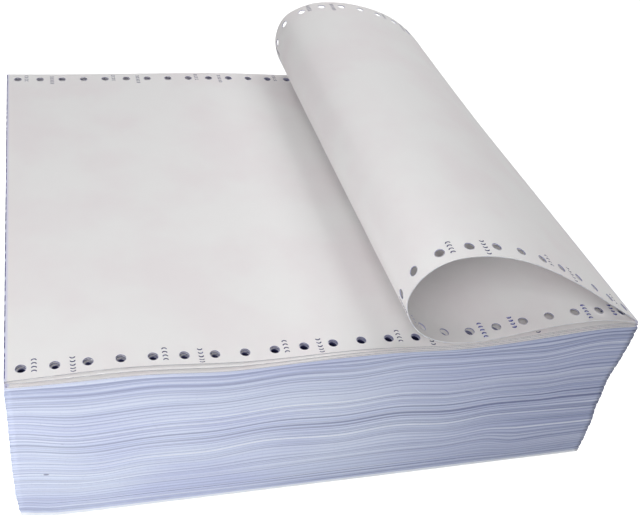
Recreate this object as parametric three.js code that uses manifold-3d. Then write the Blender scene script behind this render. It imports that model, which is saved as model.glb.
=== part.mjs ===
// Fanfold continuous form paper: one long web of printer form, folded to and fro into a pile,
// with its topmost page still joined at the right-hand fold and curled over on itself.
// Millimetres. +X runs along the web to the right-hand folds, +Y to the back and +Z up.

import * as THREE from 'three';
import { mergeVertices } from 'three/addons/utils/BufferGeometryUtils.js';
import Module from 'manifold-3d';

// The form as it is made: a page of 11 inches between folds on a web of 9.5 inches.
const FORM_LENGTH = 279.4;
const FORM_WIDTH = 241.3;
const FORM_THICKNESS = 0.5;

// The feed holes: one row along each long edge of every page, half an inch apart.
const HOLE_DIAMETER = 4;
const HOLE_PITCH = 12.7;
const HOLE_INSET = 6.35;
const HOLE_SIDES = 8;
const BORE_OVERRUN = 8;

// The pile: each leaf is a bundle of pages, and neighbours join at a fold on alternate sides.
const PILE_HEIGHT = 89.7;
const LEAF_COUNT = 30;
const EDGE_RELIEF = 0.45;
const FOLD_RELIEF = 1;
const FOLD_BLUNTNESS = 0.5;

// The curl: the height of its crown above the pile, and what its free end and underside clear.
const CURL_HEIGHT = 49.9;
const REST_GAP = 0.3;
const FOLD_SETBACK = 0.6;

// How finely the solids follow their curves.
const PILE_STEPS_LONG = 16;
const PILE_STEPS_WIDE = 2;
const BORE_STEPS = 2;
const CURL_STEPS_LONG = 40;
const CURL_STEPS_WIDE = 2;
const CURVE_DIVISIONS = 1200;
const REACH_HALVINGS = 30;
const SIDE_TOLERANCE = 0.01;

// The waves that the pile has settled into. Each point is a share of the page's length from the
// left folds, and a height in millimetres.
const TOP_WAVE_FRONT = [
  [0, -1], [0.157, 0.6], [0.34, -1.7], [0.537, 0.2], [0.687, -1.3], [0.96, 4.6], [1, 4.2],
];
const TOP_WAVE_BACK = [[0, -1.1], [0.476, 1.1], [0.64, 0.2], [0.96, 3.2], [1, 3]];
const INNER_WAVE = [
  [0, 4.5], [0.1, -3.8], [0.42, 1.6], [0.51, 0.2], [0.59, 3], [0.7, -1.4], [0.785, 1], [0.87, 0], [1, 2.5],
];

// How much of each wave shows at a share of the pile's height.
const TOP_WAVE_SHARE = [[0.75, 0], [1, 1]];
const INNER_WAVE_SHARE = [[0, 0], [0.25, 0.65], [0.65, 1], [0.92, 0.3], [1, 0]];

// How far the folds have crept to the right, in millimetres, at a share of the pile's height.
const LEFT_CREEP = [[0, 3.4], [0.18, 2.1], [0.35, 1.3], [0.68, 0.4], [0.94, -0.4], [1, 0]];
const RIGHT_CREEP = [[0, 4.4], [0.1, 4.2], [0.25, 3], [0.43, 0.3], [0.62, -1.5], [0.83, -0.5], [1, -0.9]];

// The curl's line from the fold, left along the pile, round the nose and back over the crown.
// Each point is a share of its reach from the fold, and a share of its height.
const CURL_LINE_FRONT = [
  [0.085, 0.13], [0.206, 0.155], [0.327, 0.135], [0.43, 0.1], [0.62, 0.02], [0.715, 0.004], [0.815, 0.045],
  [0.9, 0.15], [0.96, 0.31], [1, 0.56], [0.968, 0.815], [0.888, 0.965], [0.776, 1], [0.645, 0.95],
  [0.507, 0.825], [0.345, 0.62], [0.166, 0.355],
];
const CURL_LINE_BACK = [
  [0.085, 0.17], [0.206, 0.21], [0.327, 0.17], [0.43, 0.1], [0.62, 0.025], [0.73, 0.01], [0.84, 0.035],
  [0.92, 0.12], [0.97, 0.27], [1, 0.53], [0.968, 0.8], [0.85, 0.97], [0.72, 1.01], [0.575, 0.98],
  [0.405, 0.87], [0.265, 0.69], [0.135, 0.42],
];

const PAPER_COLOUR = 0xe6e6ea;
const PAPER_ROUGHNESS = 0.85;

const wasm = await Module();
wasm.setup();

// A smooth wave through its crests and troughs, which are [share, value] points.
function wave(points, share) {
  let next = 1;
  while (next < points.length - 1 && share > points[next][0]) next += 1;
  const [fromShare, fromValue] = points[next - 1];
  const [toShare, toValue] = points[next];
  const blend = THREE.MathUtils.smoothstep(share, fromShare, toShare);
  return THREE.MathUtils.lerp(fromValue, toValue, blend);
}

// The height of the pile's top over its nominal height.
function topWave(alongShare, acrossShare) {
  const front = wave(TOP_WAVE_FRONT, alongShare);
  const back = wave(TOP_WAVE_BACK, alongShare);
  return THREE.MathUtils.lerp(front, back, acrossShare);
}

// Where a point of the flat, square pile lies once the pile has settled.
function settle(point) {
  const along = THREE.MathUtils.clamp(point.x / FORM_LENGTH, 0, 1);
  const across = THREE.MathUtils.clamp(point.y / FORM_WIDTH, 0, 1);
  const level = THREE.MathUtils.clamp(point.z / PILE_HEIGHT, 0, 1);
  const creep = THREE.MathUtils.lerp(wave(LEFT_CREEP, level), wave(RIGHT_CREEP, level), along);
  const lift = topWave(along, across) * wave(TOP_WAVE_SHARE, level);
  const ripple = wave(INNER_WAVE, along) * wave(INNER_WAVE_SHARE, level);
  return new THREE.Vector3(point.x + creep, point.y, point.z + lift + ripple);
}

// How far a cut edge lies in, counted in leaves from the top: most where two leaves meet.
function edgeInset(leavesDown) {
  return EDGE_RELIEF * Math.abs(Math.cos(Math.PI * leavesDown));
}

// How far the blunt noses of the folds lie in, where a fold is at an even count of leaves down.
function foldInset(leavesDown) {
  const nose = Math.abs(Math.cos((Math.PI * leavesDown) / 2)) ** FOLD_BLUNTNESS;
  return FOLD_RELIEF * (1 - nose);
}

// Moves each vertex of a geometry with a function from its old place to its new one.
function reshape(geometry, place) {
  const position = geometry.getAttribute('position');
  const point = new THREE.Vector3();
  for (let i = 0; i < position.count; i += 1) {
    point.fromBufferAttribute(position, i);
    const moved = place(point);
    position.setXYZ(i, moved.x, moved.y, moved.z);
  }
  return geometry;
}

function toSolid(geometry) {
  geometry.deleteAttribute('normal');
  geometry.deleteAttribute('uv');
  const merged = mergeVertices(geometry);
  const vertProperties = new Float32Array(merged.getAttribute('position').array);
  const triVerts = new Uint32Array(merged.getIndex().array);
  return new wasm.Manifold(new wasm.Mesh({ numProp: 3, vertProperties, triVerts }));
}

function toGeometry(solid) {
  const mesh = solid.getMesh();
  const geometry = new THREE.BufferGeometry();
  geometry.setAttribute('position', new THREE.BufferAttribute(mesh.vertProperties, 3));
  geometry.setIndex(new THREE.BufferAttribute(mesh.triVerts, 1));
  geometry.computeVertexNormals();
  return geometry;
}

// The feed holes of one page, as [distance from the fold, distance from the front edge].
function holePlaces() {
  const places = [];
  const count = Math.floor(FORM_LENGTH / HOLE_PITCH);
  const first = (FORM_LENGTH - (count - 1) * HOLE_PITCH) / 2;
  for (let i = 0; i < count; i += 1) {
    for (const across of [HOLE_INSET, FORM_WIDTH - HOLE_INSET]) {
      places.push([first + i * HOLE_PITCH, across]);
    }
  }
  return places;
}

// The pile: leaves with grooves between them at the cut edges, and blunt folds left and right.
function pileSolid() {
  const geometry = new THREE.BoxGeometry(
    FORM_LENGTH, FORM_WIDTH, PILE_HEIGHT, PILE_STEPS_LONG, PILE_STEPS_WIDE, LEAF_COUNT * 2,
  );
  geometry.translate(FORM_LENGTH / 2, FORM_WIDTH / 2, PILE_HEIGHT / 2);
  reshape(geometry, (point) => {
    const leavesDown = LEAF_COUNT * (1 - point.z / PILE_HEIGHT);
    const settled = settle(point);
    if (point.y < SIDE_TOLERANCE) settled.y += edgeInset(leavesDown);
    if (point.y > FORM_WIDTH - SIDE_TOLERANCE) settled.y -= edgeInset(leavesDown);
    if (point.x < SIDE_TOLERANCE) settled.x += foldInset(leavesDown + 1);
    if (point.x > FORM_LENGTH - SIDE_TOLERANCE) settled.x -= foldInset(leavesDown);
    return settled;
  });
  return toSolid(geometry);
}

// One feed hole down through the whole pile, leaning as the pile does, and past it at both ends.
function boreSolid(along, across) {
  const radius = HOLE_DIAMETER / 2;
  const depth = PILE_HEIGHT + 2 * BORE_OVERRUN;
  const geometry = new THREE.CylinderGeometry(radius, radius, depth, HOLE_SIDES, BORE_STEPS);
  geometry.rotateX(Math.PI / 2);
  geometry.translate(along, across, PILE_HEIGHT / 2);
  reshape(geometry, (point) => new THREE.Vector3(settle(point).x, point.y, point.z));
  return toSolid(geometry);
}

// The place on the pile's top where the curled page is folded to the one below it.
function foldPoint(acrossShare) {
  const x = FORM_LENGTH + wave(RIGHT_CREEP, 1) - FOLD_SETBACK;
  return new THREE.Vector3(x, acrossShare * FORM_WIDTH, PILE_HEIGHT + topWave(1, acrossShare));
}

// The curl's line at one place across the web, for a given reach from the fold to the nose.
function curlCurve(acrossShare, reach) {
  const fold = foldPoint(acrossShare);
  const points = CURL_LINE_FRONT.map(([out, up], i) => {
    const x = fold.x - reach * THREE.MathUtils.lerp(out, CURL_LINE_BACK[i][0], acrossShare);
    const rise = CURL_HEIGHT * THREE.MathUtils.lerp(up, CURL_LINE_BACK[i][1], acrossShare);
    const pileTop = topWave(x / FORM_LENGTH, acrossShare);
    const height = Math.max(rise, pileTop + FORM_THICKNESS / 2 + REST_GAP);
    return new THREE.Vector3(x, fold.y, PILE_HEIGHT + height);
  });
  const freeEnd = fold.clone();
  freeEnd.z += FORM_THICKNESS + REST_GAP;
  const curve = new THREE.CatmullRomCurve3([fold, ...points, freeEnd], false, 'centripetal');
  curve.arcLengthDivisions = CURVE_DIVISIONS;
  return curve;
}

// The curl's line with the reach that gives it exactly one page of paper, fold to free end.
function pageCurve(acrossShare) {
  let low = 0;
  let high = FORM_LENGTH;
  for (let step = 0; step < REACH_HALVINGS; step += 1) {
    const reach = (low + high) / 2;
    if (curlCurve(acrossShare, reach).getLength() < FORM_LENGTH) low = reach;
    else high = reach;
  }
  return curlCurve(acrossShare, (low + high) / 2);
}

// The direction square to the page, towards the inside of the curl.
function inwardNormal(curve, share) {
  const ahead = curve.getTangentAt(share);
  return new THREE.Vector3(ahead.z, 0, -ahead.x).normalize();
}

// A point of the flat page, bent to the curl: x is the distance from the fold along the page,
// and z is the height over the middle of its thickness, on the side that ends up outside.
function bend(curve, point) {
  const share = THREE.MathUtils.clamp(point.x / FORM_LENGTH, 0, 1);
  return curve.getPointAt(share).addScaledVector(inwardNormal(curve, share), -point.z);
}

// The topmost page, curled over with its free end back on the fold.
function curlSolid() {
  const curves = new Map();
  const geometry = new THREE.BoxGeometry(
    FORM_LENGTH, FORM_WIDTH, FORM_THICKNESS, CURL_STEPS_LONG, CURL_STEPS_WIDE, 1,
  );
  geometry.translate(FORM_LENGTH / 2, FORM_WIDTH / 2, 0);
  reshape(geometry, (point) => {
    const key = Math.round((point.y / FORM_WIDTH) * CURL_STEPS_WIDE);
    if (!curves.has(key)) curves.set(key, pageCurve(key / CURL_STEPS_WIDE));
    return bend(curves.get(key), point);
  });
  return toSolid(geometry);
}

// One feed hole square through the curled page.
function punchSolid(curve, along) {
  const radius = HOLE_DIAMETER / 2;
  const depth = FORM_THICKNESS + HOLE_DIAMETER;
  const geometry = new THREE.CylinderGeometry(radius, radius, depth, HOLE_SIDES);
  const share = along / FORM_LENGTH;
  const inward = inwardNormal(curve, share);
  const turn = new THREE.Quaternion().setFromUnitVectors(new THREE.Vector3(0, 1, 0), inward);
  const centre = curve.getPointAt(share);
  geometry.applyQuaternion(turn);
  geometry.translate(centre.x, centre.y, centre.z);
  return toSolid(geometry);
}

function fanfoldPaper() {
  let pile = pileSolid();
  let curl = curlSolid();
  const rows = new Map();
  for (const [along, across] of holePlaces()) {
    if (!rows.has(across)) rows.set(across, pageCurve(across / FORM_WIDTH));
    pile = pile.subtract(boreSolid(along, across));
    curl = curl.subtract(punchSolid(rows.get(across), along));
  }
  const material = new THREE.MeshStandardMaterial({
    color: PAPER_COLOUR, roughness: PAPER_ROUGHNESS, metalness: 0,
  });
  const mesh = new THREE.Mesh(toGeometry(pile.add(curl)), material);
  mesh.name = 'fanfold_paper';
  return mesh;
}

// The part stands on the middle of its lowest face.
const paper = fanfoldPaper();
const box = new THREE.Box3().setFromObject(paper);
const middle = box.getCenter(new THREE.Vector3());
paper.position.set(-middle.x, -middle.y, -box.min.z);

const part = new THREE.Group();
part.name = 'fanfold_form';
part.add(paper);

export default part;
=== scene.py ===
"""Fanfold continuous form paper, dressed for its render.

A settled pile of folded forms carries its loose top pages, and the topmost page is curled over
on itself at the right-hand fold. Sizes are in millimetres: x runs from the left folds, y from
the front cut edge and z from the table. Each mesh is moved into the frame, in metres, at its end.
"""

from __future__ import annotations

import logging
import math
from collections.abc import Callable, Iterable
from dataclasses import dataclass, field
from enum import Enum

import bmesh
import bpy
import numpy as np
from mathutils import Matrix, Vector

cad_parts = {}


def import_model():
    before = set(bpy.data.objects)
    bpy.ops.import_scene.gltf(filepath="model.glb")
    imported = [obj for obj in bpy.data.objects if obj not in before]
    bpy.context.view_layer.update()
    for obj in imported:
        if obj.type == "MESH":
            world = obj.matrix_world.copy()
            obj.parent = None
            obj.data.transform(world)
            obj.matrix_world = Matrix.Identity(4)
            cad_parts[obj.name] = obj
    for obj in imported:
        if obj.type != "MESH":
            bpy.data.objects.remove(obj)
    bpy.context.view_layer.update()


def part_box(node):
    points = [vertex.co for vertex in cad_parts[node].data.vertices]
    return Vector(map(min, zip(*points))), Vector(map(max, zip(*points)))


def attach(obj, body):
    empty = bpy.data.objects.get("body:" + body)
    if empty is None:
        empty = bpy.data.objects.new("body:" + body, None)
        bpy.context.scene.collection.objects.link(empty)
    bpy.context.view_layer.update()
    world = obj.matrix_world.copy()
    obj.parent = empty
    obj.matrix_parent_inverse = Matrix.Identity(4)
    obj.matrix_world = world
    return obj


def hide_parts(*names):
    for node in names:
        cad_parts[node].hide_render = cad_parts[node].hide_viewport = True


LOG = logging.getLogger("fanfold")
NODE = "fanfold_paper"

# The attribute that keeps each point's place on the flat web or in the square pile, in metres.
FLAT = "flat"

# A millimetre in metres, and how near to a side a point counts as on it, in millimetres.
MM = 0.001
TOUCH = 0.01

# Three numbers: a place, a scale or a linear colour.
Triple = tuple[float, float, float]
Socket = bpy.types.NodeSocket


class Side(Enum):
    """The side of the web that a mark is printed or pressed on."""

    FACE = 1
    BACK = -1


class Ply(Enum):
    """A ply of the two-part form, by the side of the web that it lies on."""

    UPPER = Side.FACE
    UNDER = Side.BACK


@dataclass(frozen=True)
class Form:
    """The form as it is made."""

    length: float = 279.4
    width: float = 241.3
    hole_diameter: float = 4.0
    hole_pitch: float = 12.7
    hole_inset: float = 6.35
    ply: float = 0.16
    ply_gap: float = 0.03
    rim_room: float = 0.15

    @property
    def holes(self) -> int:
        """Feed holes along one edge of a page."""
        return int(self.length / self.hole_pitch)

    @property
    def set_thickness(self) -> float:
        """Both plies and the gap between them."""
        return 2 * self.ply + self.ply_gap

    def margin_share(self, y: np.ndarray) -> np.ndarray:
        """How much of an uneven trim reaches a place: all at the front edge, none at a hole."""
        return np.clip(1 - y / (self.hole_inset - self.hole_diameter / 2 - self.rim_room), 0, 1)


@dataclass(frozen=True)
class Wave:
    """A smooth wave through its crests and troughs, which are (share, value) pairs."""

    points: tuple[tuple[float, float], ...]

    def at(self, share: np.ndarray) -> np.ndarray:
        """Samples the wave.

        Args:
            share: Places along the wave, from 0 to 1.

        Returns:
            The wave's value at each place.
        """
        stations = np.array(self.points)
        place = np.clip(share, stations[0, 0], stations[-1, 0])
        left = np.searchsorted(stations[:, 0], place, side="right") - 1
        left = np.clip(left, 0, len(stations) - 2)
        start, end = stations[left], stations[left + 1]
        blend = (place - start[..., 0]) / (end[..., 0] - start[..., 0])
        blend = blend * blend * (3 - 2 * blend)
        return start[..., 1] + (end[..., 1] - start[..., 1]) * blend


@dataclass(frozen=True)
class Settling:
    """How the square pile has slumped: the waves of its pages and the creep of its folds."""

    form: Form
    height: float = 89.7
    top_front: Wave = Wave(
        ((0, -1), (0.157, 0.6), (0.34, -1.7), (0.537, 0.2), (0.687, -1.3), (0.96, 4.6), (1, 4.2))
    )
    top_back: Wave = Wave(((0, -1.1), (0.476, 1.1), (0.64, 0.2), (0.96, 3.2), (1, 3)))
    left_creep: Wave = Wave(
        ((0, 2.5), (0.07, 1.5), (0.2, 0.8), (0.45, 0.2), (0.7, 0), (0.94, -0.4), (1, 0))
    )
    right_creep: Wave = Wave(
        ((0, 4.4), (0.1, 4.2), (0.25, 3), (0.43, 0.3), (0.62, -1.5), (0.83, -0.5), (1, -0.9))
    )
    loose_depth: Wave = Wave(((0, 2.6), (0.3, 2.5), (0.5, 1.6), (0.75, 1.3), (1, 1.5)))
    levels: tuple[float, ...] = (0, 0.063, 0.186, 0.365, 0.66, 0.911, 1)
    ripples: tuple[Wave, ...] = (
        Wave(((0, 3.6), (0.03, 1.5), (0.06, 0.2), (0.09, 0), (1, 0))),
        Wave(((0, 4.6), (0.06, 1.4), (0.13, 0.6), (0.4, 0), (0.75, 0.4), (0.85, -0.6), (1, 0))),
        Wave(
            ((0, 3), (0.1, -1), (0.2, -0.4), (0.32, -0.8), (0.61, 0.7), (0.7, 0), (0.785, 1.8),
             (0.85, -1.8), (0.92, -0.8), (1, -0.4))
        ),
        Wave(
            ((0, 2.4), (0.125, -3.2), (0.2, -1), (0.285, -1.6), (0.39, 1.7), (0.51, -0.4),
             (0.61, 2.2), (0.71, -0.4), (0.79, 2.2), (1, 0.4))
        ),
        Wave(
            ((0, 3), (0.1, -2.5), (0.23, -0.6), (0.3, -1.2), (0.42, 1), (0.51, 0), (0.6, 1.9),
             (0.7, -0.6), (0.785, 0.6), (0.87, 0), (0.93, 1.6), (1, 1.7))
        ),
        Wave(
            ((0, 0.4), (0.11, -1.1), (0.2, 0.3), (0.31, -1.9), (0.42, 0.3), (0.51, -0.9),
             (0.61, 1.6), (0.7, 0.5), (0.83, -0.2), (0.95, 4.4), (1, 4))
        ),
        Wave(((0, 0), (1, 0))),
    )

    def top(self, x: np.ndarray, y: np.ndarray) -> np.ndarray:
        """Finds the height of the pile's top over its nominal height.

        Args:
            x: Distances from the left folds.
            y: Distances from the front cut edge.

        Returns:
            The height at each place, in millimetres.
        """
        along, across = x / self.form.length, np.clip(y / self.form.width, 0, 1)
        front, back = self.top_front.at(along), self.top_back.at(along)
        return front + (back - front) * across

    def lift(self, x: np.ndarray, y: np.ndarray, z: np.ndarray) -> np.ndarray:
        """How far a flat page rises or sinks.

        Args:
            x: Distances from the left folds on the flat page.
            y: Distances from the front cut edge.
            z: Heights in the square pile.

        Returns:
            The lift at each place, in millimetres.
        """
        along, level = x / self.form.length, np.clip(z / self.height, 0, 1)
        lift = np.zeros_like(along + level)
        waves = [ripple.at(along) for ripple in self.ripples[:-1]] + [self.top(x, y)]
        for low, high, under, over in zip(self.levels, self.levels[1:], waves, waves[1:]):
            blend = np.clip((level - low) / (high - low), 0, 1)
            blend = blend * blend * (3 - 2 * blend)
            here = (level >= low) & ((level < high) | (high == 1))
            lift = np.where(here, under + (over - under) * blend, lift)
        return lift

    def creep(self, x: np.ndarray, z: np.ndarray) -> np.ndarray:
        """How far a place in the pile has crept to the right.

        Args:
            x: Distances from the left folds.
            z: Heights in the square pile.

        Returns:
            The creep at each place, in millimetres.
        """
        level = z / self.height
        left, right = self.left_creep.at(level), self.right_creep.at(level)
        return left + (right - left) * np.clip(x / self.form.length, 0, 1)

    def settle(self, flat: np.ndarray) -> np.ndarray:
        """Moves points of the square pile to where they lie once it has settled."""
        x, y, z = flat.T
        return np.stack([x + self.creep(x, z), y, z + self.lift(x, y, z)], axis=1)


@dataclass(frozen=True)
class Curl:
    """The topmost page, from the right-hand fold round its nose and back over its crown."""

    form: Form
    settling: Settling
    height: float = 49.9
    thickness: float = 0.5
    rest_gap: float = 0.3
    fold_setback: float = 0.6
    halvings: int = 30
    front: tuple[tuple[float, float], ...] = (
        (0.085, 0.13), (0.206, 0.155), (0.327, 0.135), (0.43, 0.1), (0.62, 0.02), (0.715, 0.004),
        (0.815, 0.045), (0.9, 0.15), (0.96, 0.31), (1, 0.56), (0.968, 0.815), (0.888, 0.965),
        (0.776, 1), (0.645, 0.95), (0.507, 0.825), (0.345, 0.62), (0.166, 0.355),
    )
    back: tuple[tuple[float, float], ...] = (
        (0.085, 0.17), (0.206, 0.21), (0.327, 0.17), (0.43, 0.1), (0.62, 0.025), (0.73, 0.01),
        (0.84, 0.035), (0.92, 0.12), (0.97, 0.27), (1, 0.53), (0.968, 0.8), (0.85, 0.97),
        (0.72, 1.01), (0.575, 0.98), (0.405, 0.87), (0.265, 0.69), (0.135, 0.42),
    )

    def fold(self, y: float) -> np.ndarray:
        """Finds the right-hand fold.

        Args:
            y: Distance from the front cut edge.

        Returns:
            The fold's place, as (x, z).
        """
        creep = float(self.settling.right_creep.at(np.array(1.0)))
        top = float(self.settling.top(np.array(self.form.length), np.array(y)))
        return np.array([self.form.length + creep - self.fold_setback, self.settling.height + top])

    def line(self, y: float, reach: float) -> np.ndarray:
        """Draws the page's line at one place across the web, for a given reach to the nose.

        Args:
            y: Distance from the front cut edge.
            reach: Distance from the fold to the nose.

        Returns:
            Points (x, z) from the fold to the free end.
        """
        across = y / self.form.width
        shares = np.array(self.front) * (1 - across) + np.array(self.back) * across
        fold = self.fold(y)
        x = fold[0] - reach * shares[:, 0]
        clear = self.settling.top(x, np.full_like(x, y)) + self.thickness / 2 + self.rest_gap
        z = self.settling.height + np.maximum(self.height * shares[:, 1], clear)
        free_end = fold + (0, self.thickness + self.rest_gap)
        return smooth_curve(np.vstack([fold, np.stack([x, z], axis=1), free_end]))

    def page(self, y: float) -> np.ndarray:
        """Draws the page's line with the reach that gives it exactly one page of paper.

        Args:
            y: Distance from the front cut edge.

        Returns:
            Points (x, z) from the fold to the free end.
        """
        low, high = 0.0, self.form.length
        for _ in range(self.halvings):
            reach = (low + high) / 2
            if path_length(self.line(y, reach))[-1] < self.form.length:
                low = reach
            else:
                high = reach
        return self.line(y, (low + high) / 2)


def smooth_curve(points: np.ndarray, steps: int = 24) -> np.ndarray:
    """Draws a centripetal Catmull-Rom curve.

    Args:
        points: The points that the curve passes, as rows.
        steps: Samples between one point and the next.

    Returns:
        The sampled curve, as rows.
    """
    ends = np.vstack([2 * points[0] - points[1], points, 2 * points[-1] - points[-2]])
    gaps = np.sqrt(np.linalg.norm(np.diff(ends, axis=0), axis=1))[:, None]
    before, here, there, after = ends[:-3], ends[1:-2], ends[2:-1], ends[3:]
    g0, g1, g2 = gaps[:-2], gaps[1:-1], gaps[2:]
    leave = ((here - before) / g0 - (there - before) / (g0 + g1) + (there - here) / g1) * g1
    arrive = ((there - here) / g1 - (after - here) / (g1 + g2) + (after - there) / g2) * g1
    t = np.linspace(0, 1, steps, endpoint=False)[None, :, None]
    a, b, m, n = here[:, None], there[:, None], leave[:, None], arrive[:, None]
    curve = a + m * t + (3 * (b - a) - 2 * m - n) * t**2 + (2 * (a - b) + m + n) * t**3
    return np.vstack([curve.reshape(-1, points.shape[1]), points[-1]])


def path_length(points: np.ndarray) -> np.ndarray:
    """The distance along a path at each of its points."""
    return np.concatenate([[0], np.cumsum(np.linalg.norm(np.diff(points, axis=0), axis=1))])


def resample(points: np.ndarray, count: int) -> np.ndarray:
    """Spaces a path's points evenly along it.

    Args:
        points: The path, as rows.
        count: How many points it shall have.

    Returns:
        The path again, with its new points.
    """
    length = path_length(points)
    even = np.linspace(0, length[-1], count)
    return np.stack([np.interp(even, length, column) for column in points.T], axis=1)


def page_turn(start: np.ndarray, end: np.ndarray, reach: float, steps: int) -> np.ndarray:
    """Draws half of an ellipse that turns a page over at its fold.

    Args:
        start: Where the one page ends, as (x, z).
        end: Where the next page starts.
        reach: How far the fold's nose stands out, and to which side.
        steps: Points on the turn.

    Returns:
        Points (x, z) from one page to the next.
    """
    angle = np.linspace(0, math.pi, steps)[:, None]
    middle, arm = (start + end) / 2, (start - end) / 2
    return middle + arm * np.cos(angle) + np.array([reach, 0]) * np.sin(angle)


@dataclass
class LooseWeb:
    """The path of the web's loose end: the curled page and the top pages of the pile.

    The web is measured from its free end. It runs over the crown, round the nose and back to the
    right-hand fold, and then to and fro over the pile. Its face side lies outside on the curl.
    The pages' front margins are trimmed unevenly.
    """

    form: Form
    settling: Settling
    curl: Curl
    page_shares: tuple[float, ...] = (0, 0.45, 1)
    trims: tuple[Wave, ...] = (
        Wave(((0, 0), (1, 0))),
        Wave(((0, 1), (0.25, 1.6), (0.45, 1.2), (0.7, 0.35), (1, 0.3))),
        Wave(((0, -0.1), (0.3, 0.1), (0.7, 0), (1, 0))),
        Wave(((0, -0.9), (0.3, -1), (0.6, -0.6), (1, -0.4))),
    )
    nose: float = 0.55
    turn_steps: int = 9
    trim_fade: float = 6
    page_points: int = 400
    stations: int = 13
    samples: int = 1600
    centre: np.ndarray = field(init=False)
    normal: np.ndarray = field(init=False)

    def __post_init__(self) -> None:
        """Samples the path of every page at stations across the web."""
        lines = [self.station(y) for y in np.linspace(0, self.form.width, self.stations)]
        self.centre = np.array(lines)
        ahead = np.gradient(self.centre, axis=2)
        ahead /= np.linalg.norm(ahead, axis=3, keepdims=True)
        self.normal = np.stack([ahead[..., 1], -ahead[..., 0]], axis=3)

    @property
    def pages(self) -> int:
        """The curled page and the pages under it."""
        return 1 + len(self.page_shares)

    def flat_page(self, number: int, y: float) -> np.ndarray:
        """Draws the line of a page that lies on the pile, without its turns.

        Args:
            number: The page's place under the curled one, from 0.
            y: Distance from the front cut edge.

        Returns:
            Points (x, z) along the page, in the direction of the web.
        """
        flat_x = np.linspace(self.nose, self.form.length - self.nose, self.page_points)
        room = self.settling.loose_depth.at(flat_x / self.form.length) - self.form.set_thickness
        level = self.settling.height - self.form.set_thickness / 2 - room * self.page_shares[number]
        flat = np.stack([flat_x, np.full(self.page_points, y), level], axis=1)
        line = self.settling.settle(flat)[:, [0, 2]]
        return line if number % 2 else line[::-1]

    def station(self, y: float) -> list[np.ndarray]:
        """Draws every page's line at one place across the web.

        Args:
            y: Distance from the front cut edge.

        Returns:
            One line for each page, from nose to nose of its folds.
        """
        runs = [self.curl.page(y)[::-1]] + [self.flat_page(i, y) for i in range(self.pages - 1)]
        turns = []
        for i, (run, after) in enumerate(zip(runs, runs[1:])):
            reach = self.nose if i % 2 == 0 else -self.nose
            turns.append(page_turn(run[-1], after[0], reach, self.turn_steps))
        tip = self.turn_steps // 2
        lines = []
        for i, run in enumerate(runs):
            before = turns[i - 1][tip:-1] if i else run[:0]
            after = turns[i][1 : tip + 1] if i < len(turns) else run[:0]
            lines.append(resample(np.vstack([before, run, after]), self.samples))
        return lines

    def place(self, flat: np.ndarray) -> np.ndarray:
        """Bends points of the flat web along its path.

        Args:
            flat: Points as (distance from the free end, distance from the front edge, height
                over the web's middle on its face side).

        Returns:
            The points on the settled pile.
        """
        page = np.clip((flat[:, 0] // self.form.length).astype(int), 0, self.pages - 1)
        share = np.clip(flat[:, 0] / self.form.length - page, 0, 1)
        across = np.clip(flat[:, 1] / self.form.width, 0, 1) * (self.stations - 1)
        row = np.minimum(across.astype(int), self.stations - 2)
        step = share * (self.samples - 1)
        column = np.minimum(step.astype(int), self.samples - 2)
        u, v = (step - column)[:, None], (across - row)[:, None]

        def blend(table: np.ndarray) -> np.ndarray:
            """Reads a table of the path between its four nearest samples.

            Args:
                table: Values by station, page and sample.

            Returns:
                The value at each point.
            """
            near = table[row, page, column] * (1 - u) + table[row, page, column + 1] * u
            far = table[row + 1, page, column] * (1 - u) + table[row + 1, page, column + 1] * u
            return near * (1 - v) + far * v

        spot = blend(self.centre) + blend(self.normal) * flat[:, 2:3]
        trim = self.trim(page, share, spot[:, 0])
        y = flat[:, 1] + trim * self.form.margin_share(flat[:, 1])
        return np.stack([spot[:, 0], y, spot[:, 1]], axis=1)

    def trim(self, page: np.ndarray, share: np.ndarray, x: np.ndarray) -> np.ndarray:
        """Finds how far the front edge is trimmed back, blended where pages meet at a fold.

        Args:
            page: The number of each point's page.
            share: How far along its page each point lies.
            x: Distances from the left folds.

        Returns:
            The trim at each point, in millimetres.
        """
        fold_ahead = np.minimum(page + (share > 0.5), self.pages - 1)
        fold_behind = np.maximum(fold_ahead - 1, 0)
        other = np.where(page == fold_ahead, fold_behind, fold_ahead)
        trims = np.array([wave.at(np.clip(x / self.form.length, 0, 1)) for wave in self.trims])
        from_fold = np.minimum(share, 1 - share) * self.form.length
        near_fold = np.exp(-from_fold / self.trim_fade) / 2
        each = np.arange(len(page))
        return trims[page, each] + (trims[other, each] - trims[page, each]) * near_fold


def everything(bm: bmesh.types.BMesh) -> list[object]:
    """All vertices, edges and faces of a mesh."""
    return bm.verts[:] + bm.edges[:] + bm.faces[:]


def verts_of(parts: Iterable[object]) -> list[bmesh.types.BMVert]:
    """The vertices among some parts of a mesh."""
    return [part for part in parts if isinstance(part, bmesh.types.BMVert)]


def copy_to(bm: bmesh.types.BMesh, parts: list[object], place: Matrix) -> None:
    """Copies parts of a mesh.

    Args:
        bm: The mesh that holds the parts and takes the copy.
        parts: The vertices, edges and faces to copy.
        place: Moves the copy to its place.
    """
    copy = bmesh.ops.duplicate(bm, geom=parts)["geom"]
    bmesh.ops.transform(bm, matrix=place, verts=verts_of(copy))


def thicken(bm: bmesh.types.BMesh, depth: float) -> None:
    """Extrudes a flat panel up to a closed solid, with its faces pointing out.

    Args:
        bm: The panel's mesh.
        depth: The solid's height.
    """
    grown = bmesh.ops.extrude_face_region(bm, geom=bm.faces[:])["geom"]
    bmesh.ops.translate(bm, verts=verts_of(grown), vec=(0, 0, depth))
    bmesh.ops.recalc_face_normals(bm, faces=bm.faces[:])


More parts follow.
